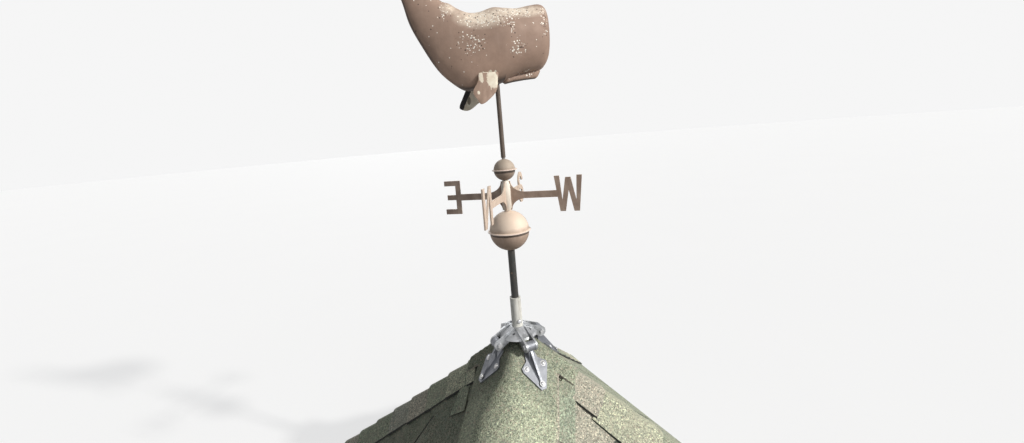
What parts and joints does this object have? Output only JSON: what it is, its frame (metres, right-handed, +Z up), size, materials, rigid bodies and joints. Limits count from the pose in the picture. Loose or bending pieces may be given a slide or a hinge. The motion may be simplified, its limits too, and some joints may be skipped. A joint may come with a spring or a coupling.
{
  "type": "hipped cupola roof with a whale weathervane",
  "caption": "Shingled hip roof of a garage cupola, with a hinged-foot roof mount and a mast carrying globes, a compass cross and a turning sperm whale vane.",
  "frame": {"origin": "centre of the flat underside of the base frame", "axes": "+Z up along the mast, +X and +Y square to the roof's eaves"},
  "size_m": [1.2352, 1.2352, 2.049],
  "materials": {
    "timber": "planed softwood, unpainted",
    "white_trim": "wood painted white, weathered",
    "asphalt_shingle": "mineral granules, mixed sage green, grey and tan",
    "peak_shingle": "mineral granules, sage green",
    "cast_mount": "cast aluminium, dull with bright edges",
    "bolt_steel": "zinc plated steel",
    "dark_pole": "dark weathered steel pipe",
    "rod_steel": "dull steel rod",
    "mast_copper": "weathered brown copper",
    "vane_tube": "dark weathered copper tube",
    "whale_copper": "weathered brown sheet copper with pale worn spots"
  },
  "bodies": {
    "roof": {"base_rail_front": "timber", "base_rail_right": "timber", "base_rail_back": "timber", "base_rail_left": "timber", "hip_rafters": "timber", "peak_post": "timber", "deck_front": "timber", "deck_right": "timber", "deck_back": "timber", "deck_left": "timber", "eave_board_front": "white_trim", "eave_board_right": "white_trim", "eave_board_back": "white_trim", "eave_board_left": "white_trim", "shingles_front": "asphalt_shingle", "shingles_right": "asphalt_shingle", "shingles_back": "asphalt_shingle", "shingles_left": "asphalt_shingle", "hip_caps_front_left": "asphalt_shingle", "hip_caps_front_right": "asphalt_shingle", "hip_caps_back_right": "asphalt_shingle", "hip_caps_back_left": "asphalt_shingle", "peak_cap": "peak_shingle", "mount_saddle": "cast_mount", "mount_foot_front": "cast_mount", "mount_foot_right": "cast_mount", "mount_foot_back": "cast_mount", "mount_foot_left": "cast_mount", "hinge_bolts": "bolt_steel", "pole": "dark_pole", "spindle": "rod_steel", "large_globe": "mast_copper", "compass_hub": "mast_copper", "compass_arm_north": "mast_copper", "compass_arm_east": "mast_copper", "compass_arm_south": "mast_copper", "compass_arm_west": "mast_copper", "small_globe": "mast_copper"},
    "vane": {"vane_tube": "vane_tube", "whale_body": "whale_copper", "whale_jaw": "whale_copper", "whale_flukes": "whale_copper", "whale_flipper_left": "whale_copper", "whale_flipper_right": "whale_copper"}
  },
  "joints": [
    {"name": "vane_turn", "type": "hinge", "parent": "roof", "child": "vane", "pos_m": [0, 0, 1.6], "axis": [0, 0, 1], "continuous": true}
  ]
}
